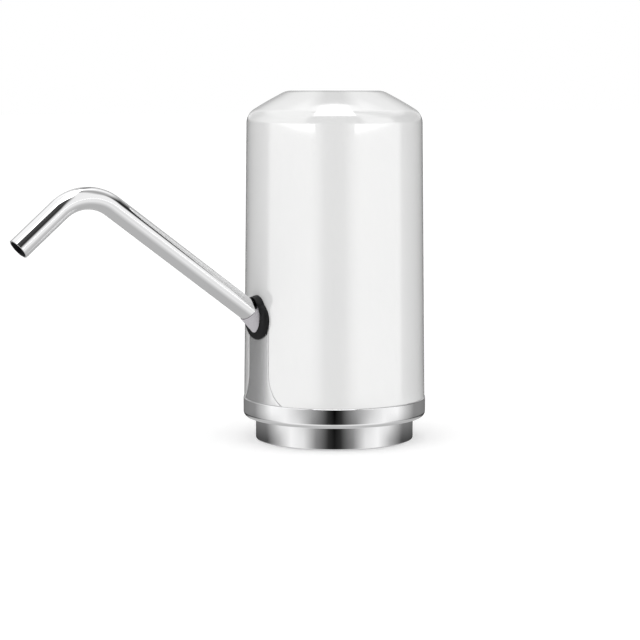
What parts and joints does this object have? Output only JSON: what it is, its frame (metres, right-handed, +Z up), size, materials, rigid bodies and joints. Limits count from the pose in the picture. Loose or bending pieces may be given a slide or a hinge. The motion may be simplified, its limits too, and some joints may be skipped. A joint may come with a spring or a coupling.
{
  "type": "electric water jug pump",
  "caption": "Battery water pump with a white cylindrical cover, chrome collar and base ring for a bottle neck, and a bent steel spout in a rubber grommet.",
  "frame": {"origin": "centre of the mouth of the neck socket, on the underside of the base ring", "axes": "+Z up along the body's axis, -Y towards the spout, +X to the right seen from the spout's side"},
  "size_m": [0.074, 0.1775, 0.1405],
  "materials": {
    "white_cover": "gloss",
    "chrome_ring": "polished",
    "silver_panel": "satin",
    "black_rubber": "matte",
    "gasket_rubber": "matte",
    "steel_tube": "polished",
    "grey_plastic": "satin",
    "inner_white": "satin",
    "silicone": "satin",
    "pump_plastic": "satin",
    "valve_rubber": "matte",
    "screw_steel": "bright",
    "motor_steel": "satin",
    "magnet": "matte",
    "core_steel": "matte",
    "brass": "bright",
    "copper": "bright",
    "carbon": "matte",
    "cell_wrap": "satin",
    "contact_nickel": "bright",
    "lead_insulation": "satin",
    "circuit_board": "satin",
    "led_lens": "gloss",
    "light_diffuser": "frosted"
  },
  "bodies": {
    "housing": {"base_ring": "chrome_ring", "neck_gasket": "gasket_rubber", "collar": "chrome_ring", "chassis": "inner_white", "base_screws": "screw_steel", "spout_panel": "silver_panel", "spout_grommet": "black_rubber", "outlet_elbow": "inner_white", "outlet_hose": "silicone", "inlet_nipple": "inner_white", "inlet_hose": "silicone", "pump_feet": "black_rubber", "pump_cover": "pump_plastic", "valve_plate": "inner_white", "valve_flaps": "valve_rubber", "diaphragm": "valve_rubber", "pump_body": "pump_plastic", "pump_screws": "screw_steel", "motor_screws": "screw_steel", "motor_can": "motor_steel", "motor_magnets": "magnet", "motor_bushes": "brass", "motor_end_cap": "inner_white", "motor_brushes": "carbon", "motor_terminals": "brass", "motor_damper": "black_rubber", "motor_clamp": "inner_white", "battery_holder": "pump_plastic", "battery_cell": "cell_wrap", "battery_contacts": "contact_nickel", "battery_leads": "lead_insulation", "motor_leads": "lead_insulation", "control_board": "circuit_board", "board_chips": "pump_plastic", "board_screws": "screw_steel", "tact_switch": "pump_plastic", "indicator_leds": "led_lens", "usb_socket": "contact_nickel", "light_ring": "light_diffuser", "top_cover": "white_cover"},
    "button": {"power_button": "white_cover", "switch_plunger": "pump_plastic"},
    "rotor": {"motor_shaft": "motor_steel", "armature_core": "core_steel", "armature_windings": "copper", "commutator": "copper", "eccentric_wheel": "inner_white", "drive_pin": "motor_steel"},
    "wobble": {"wobble_plate": "inner_white"},
    "ferrule": {"spout_ferrule": "grey_plastic", "spout_o_ring": "black_rubber"},
    "spout": {"spout_tube": "steel_tube"}
  },
  "joints": [
    {"name": "button_press", "type": "slide", "parent": "housing", "child": "button", "axis": [0, 0, -1], "range_m": [0, 0.0008], "stiffness_N_per_m": 1500},
    {"name": "motor_spin", "type": "hinge", "parent": "housing", "child": "rotor", "pos_m": [0, 0.01, 0.08], "axis": [0, 0, 1], "continuous": true, "deforming": ["diaphragm"]},
    {"name": "wobble_turn", "type": "hinge", "parent": "rotor", "child": "wobble", "pos_m": [0, 0.01, 0.055], "axis": [0.1045, 0, 0.9945], "continuous": true},
    {"name": "spout_pull", "type": "slide", "parent": "housing", "child": "ferrule", "axis": [0, -0.809, 0.5878], "range_m": [0, 0.03]},
    {"name": "spout_swivel", "type": "hinge", "parent": "ferrule", "child": "spout", "pos_m": [0, -0.03628, 0.0514], "axis": [0, -0.809, 0.5878], "continuous": true}
  ],
  "couplings": [
    {"joint": "wobble_turn", "follows": "motor_spin", "ratio": -1}
  ]
}
